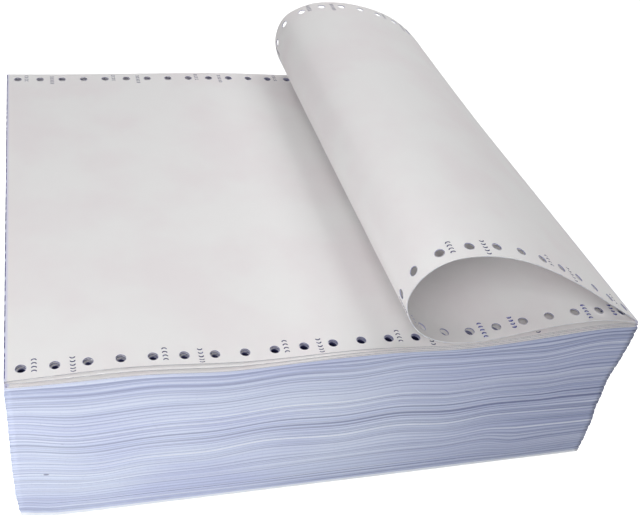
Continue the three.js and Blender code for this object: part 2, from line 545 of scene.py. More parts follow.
@dataclass(frozen=True)
class PunchedPanel:
    """A flat length of paper with its two rows of feed holes.

    Every hole has a square cell of its own along the edge, and a plain panel lies between them.
    """

    form: Form
    pages: int
    steps: int
    rows: int
    hole_radius: float
    weld: float = 0.02

    def cell(self, bm: bmesh.types.BMesh) -> None:
        """Makes one square cell round its hole, centred on the origin.

        Args:
            bm: The empty mesh that takes the cell.
        """
        sides = 4 * self.steps
        bmesh.ops.create_circle(bm, segments=sides, radius=self.hole_radius)
        outer = bmesh.ops.create_circle(bm, segments=sides, radius=self.form.hole_pitch / 2)
        quarter = math.pi / 2
        for vert in outer["verts"]:
            angle = math.atan2(vert.co.y, vert.co.x)
            turns = round(angle / quarter)
            slide = (angle - turns * quarter) / (quarter / 2)
            side = Vector((1, slide, 0)) * self.form.hole_pitch / 2
            vert.co = Matrix.Rotation(turns * quarter, 3, "Z") @ side
        bmesh.ops.bridge_loops(bm, edges=bm.edges[:])

    def build(self) -> bmesh.types.BMesh:
        """Makes the panel.

        Returns:
            Its mesh, in the plane z = 0 and with its corner at the origin.
        """
        bm = bmesh.new()
        self.cell(bm)
        cell = everything(bm)
        pitch = self.form.hole_pitch
        for column in range(self.form.holes):
            for y in (self.form.hole_inset, self.form.width - self.form.hole_inset):
                copy_to(bm, cell, Matrix.Translation(((column + 0.5) * pitch, y, 0)))
        bmesh.ops.delete(bm, geom=verts_of(cell))
        strips = everything(bm)
        for page in range(1, self.pages):
            copy_to(bm, strips, Matrix.Translation((page * self.form.length, 0, 0)))
        length = self.pages * self.form.length
        depth = self.form.width - 2 * pitch
        middle = Matrix.Translation((length / 2, self.form.width / 2, 0))
        bmesh.ops.create_grid(
            bm,
            x_segments=self.pages * self.form.holes * self.steps,
            y_segments=self.rows,
            size=0.5,
            matrix=middle @ Matrix.Diagonal((length, depth, 1, 1)),
        )
        bmesh.ops.remove_doubles(bm, verts=bm.verts[:], dist=self.weld)
        return bm


@dataclass(frozen=True)
class Placement:
    """Where the pile's own corner lies in the frame, in metres."""

    corner: Vector

    @staticmethod
    def from_frame(left_overhang: float = 0.35) -> Placement:
        """Reads the corner from the solid's box, whose left folds reach past the corner."""
        low, _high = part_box(NODE)
        return Placement(Vector((low[0] + left_overhang * MM, low[1], low[2])))

    def to_frame(self, points: np.ndarray) -> np.ndarray:
        """Points of the pile in metres, in the frame."""
        return points * MM + np.array(self.corner)


def finish_piece(
    name: str,
    bm: bmesh.types.BMesh,
    shape: Callable[[np.ndarray], np.ndarray],
    placement: Placement,
    materials: Iterable[bpy.types.Material],
) -> bpy.types.Object:
    """Turns a flat mesh into a finished piece.

    Args:
        name: The piece's name.
        bm: The flat mesh, in millimetres. It is freed.
        shape: Moves the flat points to their places on the pile.
        placement: Moves the pile into the frame.
        materials: The piece's materials, in the order of its faces' numbers.

    Returns:
        The piece, which rides on the pile's body and stands for the pile's solid.
    """
    for edge in bm.edges:
        edge.smooth = len({face.smooth for face in edge.link_faces}) == 1
    mesh = bpy.data.meshes.new(name)
    bm.to_mesh(mesh)
    bm.free()
    flat = np.empty(len(mesh.vertices) * 3)
    mesh.vertices.foreach_get("co", flat)
    attribute = mesh.attributes.new(FLAT, "FLOAT_VECTOR", "POINT")
    attribute.data.foreach_set("vector", flat * MM)
    settled = placement.to_frame(shape(flat.reshape(-1, 3)))
    mesh.vertices.foreach_set("co", settled.ravel())
    mesh.update()
    for material in materials:
        mesh.materials.append(material)
    piece = bpy.data.objects.new(name, mesh)
    bpy.context.collection.objects.link(piece)
    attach(piece, "root")
    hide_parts(NODE)
    return piece


def srgb(red: float, green: float, blue: float) -> Triple:
    """Turns a colour as it shows on a screen into the linear colour that shaders take.

    Args:
        red: The red, from 0 to 255.
        green: The green.
        blue: The blue.

    Returns:
        The linear colour.
    """
    return tuple(
        c / 12.92 if c <= 0.04045 else ((c + 0.055) / 1.055) ** 2.4
        for c in (red / 255, green / 255, blue / 255)
    )


@dataclass(frozen=True)
class Grain:
    """A field of noise: its scale along each axis in metres, its start and its fineness."""

    scale: Triple
    start: Triple = (0, 0, 0)
    detail: float = 2
    rough: float = 0.5


@dataclass(frozen=True)
class Ramp:
    """A smooth change of a value from first to last, between low and high, and flat beyond."""

    low: float
    high: float
    first: float = 0
    last: float = 1


@dataclass(frozen=True)
class Tint:
    """A colour that covers a surface more and more as a field of noise goes from low to high."""

    grain: Grain
    low: float
    high: float
    cover: float
    colour: Triple


@dataclass(frozen=True)
class Shader:
    """A material under construction, with short calls for its nodes."""

    material: bpy.types.Material

    @staticmethod
    def new(name: str, roughness: float, specular: float = 0.3) -> Shader:
        """Starts a material with one plain shader.

        Args:
            name: The material's name.
            roughness: The roughness of the surface.
            specular: The level of its plain reflection.

        Returns:
            The shader, ready for its colour.
        """
        material = bpy.data.materials.new(name)
        material.use_nodes = True
        shader = Shader(material)
        shader.surface.inputs["Roughness"].default_value = roughness
        shader.surface.inputs["Specular IOR Level"].default_value = specular
        return shader

    @property
    def surface(self) -> bpy.types.Node:
        """The material's surface shader."""
        return self.material.node_tree.nodes["Principled BSDF"]

    def add(self, kind: str, **settings: object) -> bpy.types.Node:
        """Adds a node.

        Args:
            kind: The node's type.
            **settings: Its properties.

        Returns:
            The node.
        """
        node = self.material.node_tree.nodes.new(kind)
        for name, value in settings.items():
            setattr(node, name, value)
        return node

    def link(self, source: Socket, target: Socket) -> None:
        """Joins two sockets."""
        self.material.node_tree.links.new(source, target)

    def flat_place(self) -> Socket:
        """The place of a point on the flat web or in the square pile, in metres."""
        return self.add("ShaderNodeAttribute", attribute_name=FLAT).outputs["Vector"]

    def noise(self, place: Socket, grain: Grain) -> Socket:
        """Makes a field of noise.

        Args:
            place: Where the noise is read.
            grain: Its scale, start and fineness.

        Returns:
            The noise, from 0 to 1.
        """
        scaled = self.add("ShaderNodeVectorMath", operation="MULTIPLY_ADD")
        self.link(place, scaled.inputs[0])
        scaled.inputs[1].default_value = grain.scale
        scaled.inputs[2].default_value = grain.start
        node = self.add("ShaderNodeTexNoise")
        self.link(scaled.outputs["Vector"], node.inputs["Vector"])
        node.inputs["Scale"].default_value = 1
        node.inputs["Detail"].default_value = grain.detail
        node.inputs["Roughness"].default_value = grain.rough
        return node.outputs["Fac"]

    def ridge(self, value: Socket, level: float, width: float) -> Socket:
        """Thin lines, of value 1, where a field passes a level."""
        nearness = self.math("ABSOLUTE", self.math("SUBTRACT", value, level))
        return self.ramp(nearness, Ramp(0, width, 1, 0))

    def ramp(self, value: Socket, ramp: Ramp) -> Socket:
        """Maps a value along a ramp.

        Args:
            value: The value to map.
            ramp: The ramp.

        Returns:
            The mapped value.
        """
        node = self.add("ShaderNodeMapRange", interpolation_type="SMOOTHSTEP")
        self.link(value, node.inputs["Value"])
        names = ("From Min", "From Max", "To Min", "To Max")
        for name, number in zip(names, (ramp.low, ramp.high, ramp.first, ramp.last)):
            node.inputs[name].default_value = number
        return node.outputs["Result"]

    def math(self, operation: str, first: Socket, second: Socket | float = 0.0) -> Socket:
        """Does one step of arithmetic.

        Args:
            operation: The step's name.
            first: The first value.
            second: The second value, or a number.

        Returns:
            The result.
        """
        node = self.add("ShaderNodeMath", operation=operation)
        self.link(first, node.inputs[0])
        if isinstance(second, Socket):
            self.link(second, node.inputs[1])
        else:
            node.inputs[1].default_value = second
        return node.outputs["Value"]

    def times(self, first: Socket, second: Socket | float) -> Socket:
        """The product of two values."""
        return self.math("MULTIPLY", first, second)

    def axis(self, place: Socket, name: str) -> Socket:
        """Takes one coordinate of a place.

        Args:
            place: The place.
            name: The axis: X, Y or Z.

        Returns:
            The coordinate.
        """
        node = self.add("ShaderNodeSeparateXYZ")
        self.link(place, node.inputs["Vector"])
        return node.outputs[name]

    def mix(self, amount: Socket, first: Socket | Triple, second: Socket | Triple) -> Socket:
        """Mixes two colours.

        Args:
            amount: How much of the second colour shows, from 0 to 1.
            first: The first colour.
            second: The second colour.

        Returns:
            The mixed colour.
        """
        node = self.add("ShaderNodeMix", data_type="RGBA", clamp_factor=True)
        self.link(amount, node.inputs["Factor"])
        for name, colour in (("A", first), ("B", second)):
            socket = next(s for s in node.inputs if s.name == name and s.type == "RGBA")
            if isinstance(colour, Socket):
                self.link(colour, socket)
            else:
                socket.default_value = (*colour, 1)
        return next(s for s in node.outputs if s.type == "RGBA")

    def tinted(self, place: Socket, below: Socket | Triple, tint: Tint) -> Socket:
        """Lays a tint over a colour.

        Args:
            place: Where the tint's noise is read.
            below: The colour under it.
            tint: The tint.

        Returns:
            The tinted colour.
        """
        ramp = Ramp(tint.low, tint.high, 0, tint.cover)
        return self.mix(self.ramp(self.noise(place, tint.grain), ramp), below, tint.colour)

    def colour(self, source: Socket) -> None:
        """Colours the surface."""
        self.link(source, self.surface.inputs["Base Color"])

    def bump(self, height: Socket, distance: float, strength: float = 0.5) -> None:
        """Raises the surface.

        Args:
            height: The field of heights.
            distance: What a height of 1 stands for, in metres.
            strength: How strongly it shows.
        """
        node = self.add("ShaderNodeBump")
        node.inputs["Distance"].default_value = distance
        node.inputs["Strength"].default_value = strength
        self.link(height, node.inputs["Height"])
        self.link(node.outputs["Normal"], self.surface.inputs["Normal"])


@dataclass(frozen=True)
class PageFinish:
    """The face of the forms: matt white paper, stained blue at its holes and folds."""

    form: Form
    roughness: float = 0.88
    paper: Triple = srgb(244, 243, 243)
    clouds: Tint = Tint(Grain((26, 26, 0), detail=3), 0.35, 0.7, 0.7, srgb(241, 235, 237))
    rim: Triple = srgb(122, 122, 168)
    rim_width: float = 0.28
    rim_stain: Grain = Grain((420, 420, 0))
    stain_cover: Ramp = Ramp(0.3, 0.6, 0.35, 1)
    fold_line: Triple = srgb(58, 54, 122)
    fold_halo: Triple = srgb(214, 214, 242)
    line_width: float = 0.62
    line_core: float = 0.85
    halo_width: float = 1.9
    halo_cover: float = 0.8
    dashes: Grain = Grain((0, 330, 0), detail=1, rough=0.4)
    dash_wear: Ramp = Ramp(0.4, 0.52, 0.15, 1)
    past_free_end: Ramp = Ramp(0.4, 0.6)
    fibres: Grain = Grain((1500, 3300, 0), detail=4, rough=0.6)
    fibre_height: float = 0.00003
    fibre_strength: float = 0.35

    def hole_distance(self, s: Shader, flat: Socket) -> Socket:
        """Finds the distance from the nearest hole's centre.

        Args:
            s: The material.
            flat: The place on the flat web.

        Returns:
            The distance, in metres.
        """
        pitch, inset = self.form.hole_pitch * MM, self.form.hole_inset * MM
        half_width = self.form.width * MM / 2
        along = s.math("SUBTRACT", s.math("FLOORED_MODULO", s.axis(flat, "X"), pitch), pitch / 2)
        from_middle = s.math("ABSOLUTE", s.math("SUBTRACT", s.axis(flat, "Y"), half_width))
        across = s.math("SUBTRACT", from_middle, half_width - inset)
        return s.math("SQRT", s.math("ADD", s.times(along, along), s.times(across, across)))

    def make(self) -> bpy.types.Material:
        """Makes the material.

        Returns:
            The material.
        """
        s = Shader.new("page_face", self.roughness)
        flat = s.flat_place()
        colour = s.tinted(flat, self.paper, self.clouds)
        stain = s.ramp(s.noise(flat, self.rim_stain), self.stain_cover)
        radius = self.form.hole_diameter / 2
        around = Ramp(radius * MM, (radius + self.rim_width) * MM, 1, 0)
        ring = s.ramp(self.hole_distance(s, flat), around)
        colour = s.mix(s.times(ring, stain), colour, self.rim)
        page = s.times(s.axis(flat, "X"), 1 / (self.form.length * MM))
        from_fold = s.times(s.math("PINGPONG", page, 0.5), self.form.length)
        beside = Ramp(self.line_width, self.halo_width, self.halo_cover, 0)
        colour = s.mix(s.ramp(from_fold, beside), colour, self.fold_halo)
        line = s.ramp(from_fold, Ramp(self.line_width * self.line_core, self.line_width, 1, 0))
        worn = s.ramp(s.noise(flat, self.dashes), self.dash_wear)
        line = s.times(s.times(line, worn), s.ramp(page, self.past_free_end))
        s.colour(s.mix(line, colour, self.fold_line))
        s.bump(s.noise(flat, self.fibres), self.fibre_height, self.fibre_strength)
        return s.material


@dataclass(frozen=True)
class CutEdgeFinish:
    """The guillotined edges of the pile: thousands of blue-tinged ply edges.

    The ramps along the pile and up it are in metres. Those of the leaves are shares of a leaf.
    """

    leaf: float
    roughness: float = 0.92
    pale: Triple = srgb(221, 230, 250)
    white: Triple = srgb(244, 248, 255)
    # line: the blue of the ply and layer lines, also used as painted shade towards the right and in
    # the gaps between leaves
    line: Triple = srgb(152, 161, 196)
    # gap: painted shade in the gaps between sheets
    gap: Triple = srgb(112, 119, 158)
    patches: Tint = Tint(Grain((9, 9, 26), (3, 0, 7)), 0.35, 0.65, 1, srgb(203, 211, 242))
    layers: Tint = Tint(Grain((1, 1, 260), detail=3, rough=0.6), 0.45, 0.75, 0.1, line)
    plies: Tint = Tint(Grain((10, 10, 2600), (1, 0, 5), rough=0.6), 0.48, 0.66, 0.2, line)
    fibres: Tint = Tint(Grain((900, 900, 2600), rough=0.6), 0.56, 0.78, 0.35, line)
    specks: Tint = Tint(
        Grain((110, 110, 420), detail=1, rough=0.4), 0.8, 0.84, 0.7, srgb(88, 92, 128)
    )
    sheets: Grain = Grain((0.8, 0.8, 620), (9, 0, 2), detail=1)
    fading: Grain = Grain((5, 5, 330), (5, 0, 1))
    # painted shade: the edges darken towards the right, where the light falls off, and their gap
    # lines grow darker that way; they also darken towards the top
    painted_shade_to_right: Ramp = Ramp(0.06, 0.3018, 0, 0.9)
    shade_to_top: Ramp = Ramp(0.05, 0.088, 0, 0.3)
    gap_shade_to_right: Ramp = Ramp(0.06, 0.2794, 0.55, 1)
    dark_bands: Ramp = Ramp(0.34, 0.62, 0.3, 1)
    pale_bands: Ramp = Ramp(0.62, 0.38, 0.25, 0.7)
    leaf_gap_shade: Ramp = Ramp(0.22, 0, 0, 0.8)
    leaf_middle: Ramp = Ramp(0.26, 0.42, 0, 0.45)
    sheet_gap_shade: tuple[float, float] = (0.5, 0.035)
    white_sheet: tuple[float, float] = (0.62, 0.03)
    foot: Ramp = Ramp(0.0015, 0.0021, 1, 0)
    sheet_relief: float = 0.6
    ply_relief: float = 0.4
    relief: float = 0.0004

    def make(self) -> bpy.types.Material:
        """Makes the material.

        Returns:
            The material.
        """
        s = Shader.new("cut_edges", self.roughness)
        flat = s.flat_place()
        x, z = s.axis(flat, "X"), s.axis(flat, "Z")
        colour = s.tinted(flat, self.pale, self.patches)
        # painted shade towards the right, where the light falls off; the edges also darken towards
        # the top
        for place, shade in ((x, self.painted_shade_to_right), (z, self.shade_to_top)):
            colour = s.mix(s.ramp(place, shade), colour, self.line)
        for tint in (self.layers, self.plies):
            colour = s.tinted(flat, colour, tint)

        fading = s.noise(flat, self.fading)
        gap_shade_strength = s.times(s.ramp(fading, self.dark_bands), s.ramp(x, self.gap_shade_to_right))
        pale = s.ramp(fading, self.pale_bands)
        from_gap = s.math("PINGPONG", s.times(z, 1 / (self.leaf * MM)), 0.5)
        sheets = s.noise(flat, self.sheets)
        # painted shade: dark lines in the gaps between leaves and between sheets, stronger towards
        # the right; pale lines at the leaves' middles and along some sheets
        for band, strength, tone in (
            (s.ramp(from_gap, self.leaf_gap_shade), gap_shade_strength, self.line),
            (s.ramp(from_gap, self.leaf_middle), pale, self.white),
            (s.ridge(sheets, *self.sheet_gap_shade), gap_shade_strength, self.gap),
            (s.ridge(sheets, *self.white_sheet), pale, self.white),
        ):
            colour = s.mix(s.times(band, strength), colour, tone)

        for tint in (self.fibres, self.specks):
            colour = s.tinted(flat, colour, tint)
        s.colour(s.mix(s.ramp(z, self.foot), colour, self.white))
        plies = s.times(s.noise(flat, self.plies.grain), self.ply_relief)
        s.bump(s.math("ADD", s.times(sheets, self.sheet_relief), plies), self.relief)
        return s.material


@dataclass(frozen=True)
class FoldSideFinish:
    """The folded sides of the pile: white noses with blue ticks where the perforations show."""

    roughness: float = 0.9
    paper: Triple = srgb(230, 231, 238)
    grooves: Tint = Tint(
        Grain((8, 8, 1500), detail=3, rough=0.6), 0.5, 0.7, 0.8, srgb(158, 160, 205)
    )
    ticks: Tint = Tint(Grain((1, 620, 1100)), 0.6, 0.7, 0.55, srgb(128, 122, 190))
    tick_relief: float = 0.4
    relief: float = 0.0003

    def make(self) -> bpy.types.Material:
        """Makes the material.

        Returns:
            The material.
        """
        s = Shader.new("fold_sides", self.roughness)
        flat = s.flat_place()
        grooved = s.tinted(flat, self.paper, self.grooves)
        s.colour(s.tinted(flat, grooved, self.ticks))
        lines, ticks = s.noise(flat, self.grooves.grain), s.noise(flat, self.ticks.grain)
        s.bump(s.math("ADD", lines, s.times(ticks, self.tick_relief)), self.relief)
        return s.material


@dataclass(frozen=True)
class PlyEdgeFinish:
    """The thin cut edge of a loose page, with painted shade past the curled one."""

    form: Form
    roughness: float = 0.9
    paper: Triple = srgb(240, 240, 244)
    wear: Tint = Tint(Grain((180, 180, 180), detail=3), 0.4, 0.7, 1, srgb(212, 215, 230))
    painted_shade_below: Triple = srgb(186, 186, 194)
    painted_shade_fade: float = 0.02

    def make(self) -> bpy.types.Material:
        """Makes the material.

        Returns:
            The material.
        """
        s = Shader.new("ply_edge", self.roughness)
        flat = s.flat_place()
        length = self.form.length * MM
        # painted shade: the edges of the pages under the curled one are darker, for the shade in
        # the gaps between them
        under = s.ramp(s.axis(flat, "X"), Ramp(length, length * (1 + self.painted_shade_fade)))
        s.colour(s.mix(under, s.tinted(flat, self.paper, self.wear), self.painted_shade_below))
        return s.material


@dataclass(frozen=True)
class BoreFinish:
    """The bluish feed-hole walls, with painted shade deepening under the height where they start.
    """

    name: str
    top: float
    rim: Triple = srgb(84, 86, 134)
    deep_shade: Triple = srgb(12, 12, 52)
    depth: float = 1.6
    roughness: float = 0.9
    sheets: Grain = Grain((30, 30, 2400), detail=3, rough=0.6)
    sheet_cover: tuple[float, float, float] = (0.4, 0.65, 0.6)

    def make(self) -> bpy.types.Material:
        """Makes the material.

        Returns:
            The material.
        """
        s = Shader.new(self.name, self.roughness)
        flat = s.flat_place()
        # painted shade: the walls darken with depth, and along noisy lines between the sheets
        fall = Ramp((self.top - self.depth) * MM, self.top * MM, 1, 0)
        wall = s.tinted(flat, self.rim, Tint(self.sheets, *self.sheet_cover, self.deep_shade))
        s.colour(s.mix(s.ramp(s.axis(flat, "Z"), fall), wall, self.deep_shade))
        return s.material


@dataclass(frozen=True)
class CrimpFinish:
    """The blue of a crimp, where pressure has coloured the coated paper."""

    name: str
    ink: Triple
    paper: Triple
    cover: float
    softness: float = 0.12
    roughness: float = 0.85
    blots: Grain = Grain((900, 900, 0), rough=0.6)

    def make(self) -> bpy.types.Material:
        """Makes the material.

        Returns:
            The material.
        """
        s = Shader.new(self.name, self.roughness)
        low, high = self.cover - self.softness, self.cover + self.softness
        bare = Tint(self.blots, low, high, 1, self.paper)
        s.colour(s.tinted(s.flat_place(), self.ink, bare))
        return s.material


@dataclass
class FoldedPile:
    """The settled pile under the loose pages: leaves cut flush at front and back, and folded.

    A leaf stands for a few pages. It has three rows along its sides: its groove and its two lips.
    """

    form: Form
    settling: Settling
    depth_below_top: float = 2.7
    clearance: float = 0.1
    forward: float = 1.25
    leaves: int = 42
    leaf_rows: int = 3
    edge_groove: float = 0.22
    fold_groove: float = 0.35
    lip: float = 0.4
    usual_groove: tuple[float, float] = (0.45, 1)
    open_groove: tuple[float, float] = (1.2, 1.9)
    fanning: tuple[float, float] = (0.7, 0.9)
    ragged: tuple[float, float] = (1.6, 0.035)
    drift: float = 0.6
    drift_cycles: tuple[float, float] = (0.6, 4)
    ragged_limit: float = 0.6
    scatter: tuple[float, float] = (1.5, 0.03)
    panel_steps: int = 4
    panel_rows: int = 12
    bore_rings: int = 24
    bore_radius: float = 2.12
    seed: int = 7

    @property
    def height(self) -> float:
        """Height of the square pile without the loose pages."""
        return self.settling.height - self.depth_below_top

    @property
    def leaf(self) -> float:
        """The height of one leaf."""
        return self.height / self.leaves

    def mesh(self) -> bmesh.types.BMesh:
        """Makes the square pile with its bores and rows along its sides.

        Returns:
            The mesh, with faces numbered as top, cut edge, fold side and bore.
        """
        steps, rows = self.panel_steps, self.panel_rows
        bm = PunchedPanel(self.form, 1, steps, rows, self.bore_radius).build()
        thicken(bm, self.height)
        upright = [e for e in bm.edges if abs(e.verts[0].co.z - e.verts[1].co.z) > self.leaf]
        outside = [e for e in upright if self.on_side(e.verts[0].co)]
        bores = [e for e in upright if not self.on_side(e.verts[0].co)]
        bmesh.ops.subdivide_edges(bm, edges=outside, cuts=self.leaf_rows * self.leaves - 1)
        bmesh.ops.subdivide_edges(bm, edges=bores, cuts=self.bore_rings)
        for face in bm.faces:
            centre = face.calc_center_median()
            face.smooth = abs(face.normal.z) <= 0.5
            if not face.smooth:
                face.material_index = 0
            elif min(centre.y, self.form.width - centre.y) < TOUCH:
                face.material_index = 1
            elif min(centre.x, self.form.length - centre.x) < TOUCH:
                face.material_index = 2
            else:
                face.material_index = 3
        return bm

    def on_side(self, place: Vector) -> bool:
        """Tells whether a point lies on the outside of the square pile.

        Args:
            place: The point.

        Returns:
            Whether it lies there.
        """
        x_room = min(place.x, self.form.length - place.x)
        y_room = min(place.y, self.form.width - place.y)
        return min(x_room, y_room) < TOUCH

    def shape(self, flat: np.ndarray) -> np.ndarray:
        """Cuts the grooves, rounds the folds and settles the pile.

        Args:
            flat: Points of the square pile, as rows.

        Returns:
            The points on the settled pile.
        """
        rng = np.random.default_rng(self.seed)
        x, y, z = flat.T.copy()
        row = np.rint(z / self.height * self.leaf_rows * self.leaves).astype(int)
        number, part = np.divmod(row, self.leaf_rows)
        front, back = y < TOUCH, y > self.form.width - TOUCH
        left, right = x < TOUCH, x > self.form.length - TOUCH
        offset = np.select([part == 0, part == 1], [0.0, self.lip], self.leaf - self.lip)
        z = np.where(front | back | left | right, number * self.leaf + offset, z)

        even, added = self.fanning
        fanned = even + added * (x / self.form.length) ** 2
        depths = self.edge_groove * self.groove_depths(rng)
        groove = np.where(part == 0, depths[np.minimum(number, self.leaves)] * fanned, 0)
        inset = groove + self.ragged_edge(rng, np.minimum(number, self.leaves - 1), x)
        y = np.where(front, y + inset, np.where(back, y - inset, y))

        phase = math.pi * z / (2 * self.leaf)
        right_nose, left_nose = np.sqrt(np.abs(np.sin(phase))), np.sqrt(np.abs(np.cos(phase)))
        scatter = self.fold_scatter(rng)[np.minimum(number // 2, self.leaves // 2)]
        x = np.where(left, x + self.fold_groove * (1 - left_nose) + scatter, x)
        x = np.where(right, x - self.fold_groove * (1 - right_nose) - scatter, x)

        loose = self.settling.loose_depth.at(flat[:, 0] / self.form.length)
        room = self.settling.height - loose - self.clearance
        y = y - self.forward * self.form.margin_share(flat[:, 1])
        return self.settling.settle(np.stack([x, y, z * room / self.height], axis=1))

    def groove_depths(self, rng: np.random.Generator) -> np.ndarray:
        """Draws how deep each groove is: a few stand open.

        Args:
            rng: The source of random numbers.

        Returns:
            Each groove's depth, as a share of the usual one.
        """
        depths = rng.uniform(*self.usual_groove, self.leaves + 1)
        gaps = rng.choice(self.leaves - 2, self.leaves // 4, replace=False) + 1
        depths[gaps] = rng.uniform(*self.open_groove, len(gaps))
        return depths

    def ragged_edge(
        self, rng: np.random.Generator, number: np.ndarray, x: np.ndarray
    ) -> np.ndarray:
        """Draws how far each leaf's cut edge lies in, which drifts along the leaf.

        Args:
            rng: The source of random numbers.
            number: The number of each point's leaf.
            x: Distances from the left folds.

        Returns:
            The inset at each point, in millimetres.
        """
        inset = rng.gamma(*self.ragged, self.leaves)
        cycles = rng.uniform(*self.drift_cycles, self.leaves)
        start = rng.uniform(0, 2 * math.pi, self.leaves)
        angle = x / self.form.length * 2 * math.pi * cycles[number] + start[number]
        return np.clip(inset[number] * (1 + self.drift * np.sin(angle)), 0, self.ragged_limit)

    def fold_scatter(self, rng: np.random.Generator) -> np.ndarray:
        """How far each fold lies in from the outermost ones."""
        return rng.gamma(*self.scatter, self.leaves // 2 + 1)

    def build(
        self, placement: Placement, materials: Iterable[bpy.types.Material]
    ) -> bpy.types.Object:
        """Makes the piece."""
        return finish_piece("folded_pile", self.mesh(), self.shape, placement, materials)


@dataclass
class LoosePages:
    """One ply of the web's loose end: the curled page and the top pages, all one strip."""

    form: Form
    web: LooseWeb
    ply: Ply
    steps: int = 6
    rows: int = 16
    fold_cuts: tuple[float, ...] = (-1.2, -0.6, -0.25, 0.25, 0.6, 1.2)
    cut_weld: float = 0.0001

    def mesh(self) -> bmesh.types.BMesh:
        """Makes the flat strip, with extra cuts near its folds.

        Returns:
            The mesh, with faces numbered as sheet, outer edge and hole wall.
        """
        radius = self.form.hole_diameter / 2
        bm = PunchedPanel(self.form, self.web.pages, self.steps, self.rows, radius).build()
        for page in range(1, self.web.pages):
            for step in self.fold_cuts:
                bmesh.ops.bisect_plane(
                    bm,
                    geom=everything(bm),
                    dist=self.cut_weld,
                    plane_co=(page * self.form.length + step, 0, 0),
                    plane_no=(1, 0, 0),
                )
        thicken(bm, self.form.ply)
        length = self.web.pages * self.form.length
        for face in bm.faces:
            centre = face.calc_center_median()
            face.smooth = abs(face.normal.z) > 0.5
            edge_room = min(
                centre.y, self.form.width - centre.y, centre.x, length - centre.x
            )
            face.material_index = 0 if face.smooth else 1 if edge_room < TOUCH else 2
        low = self.form.ply_gap / 2
        if self.ply is Ply.UNDER:
            low = -low - self.form.ply
        bmesh.ops.translate(bm, verts=bm.verts[:], vec=(0, 0, low))
        return bm

    def build(
        self, placement: Placement, materials: Iterable[bpy.types.Material]
    ) -> bpy.types.Object:
        """Makes the piece."""
        name = f"loose_pages_{self.ply.name.lower()}_ply"
        return finish_piece(name, self.mesh(), self.web.place, placement, materials)


@dataclass(frozen=True)
class CrimpColumn:
    """One column of crimp teeth.

    It has a place from the fold, a number of teeth, how far it sits forward, and the turn of its
    teeth about the upright, in radians.
    """

    place: float
    teeth: int
    forward: float
    turn: float


